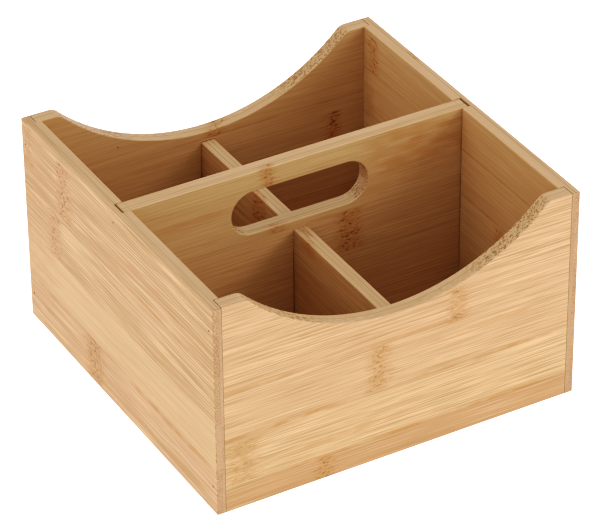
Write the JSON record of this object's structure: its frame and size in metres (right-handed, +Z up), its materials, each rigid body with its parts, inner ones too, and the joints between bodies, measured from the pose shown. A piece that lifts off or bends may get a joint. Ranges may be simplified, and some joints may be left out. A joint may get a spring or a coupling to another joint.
{
  "type": "coffee station organizer",
  "caption": "Open bamboo caddy with compartments, low scooped front and back, and a tall middle divider with a hand slot as its carrying handle.",
  "frame": {"origin": "middle of the footprint, on the surface that the box stands on", "axes": "+X to the right along the front panel, +Y from the front panel to the back panel, +Z up"},
  "size_m": [0.24, 0.237, 0.14],
  "materials": {
    "bamboo": "sanded, clear satin lacquer",
    "pin_steel": "plain wire"
  },
  "bodies": {
    "root": {"left_side": "bamboo", "right_side": "bamboo", "front_panel": "bamboo", "back_panel": "bamboo", "handle_divider": "bamboo", "front_cross_divider": "bamboo", "back_cross_divider": "bamboo", "base_panel": "bamboo", "left_front_pins": "pin_steel", "left_handle_pin": "pin_steel", "left_back_pins": "pin_steel", "right_front_pins": "pin_steel", "right_handle_pin": "pin_steel", "right_back_pins": "pin_steel"}
  },
  "joints": []
}
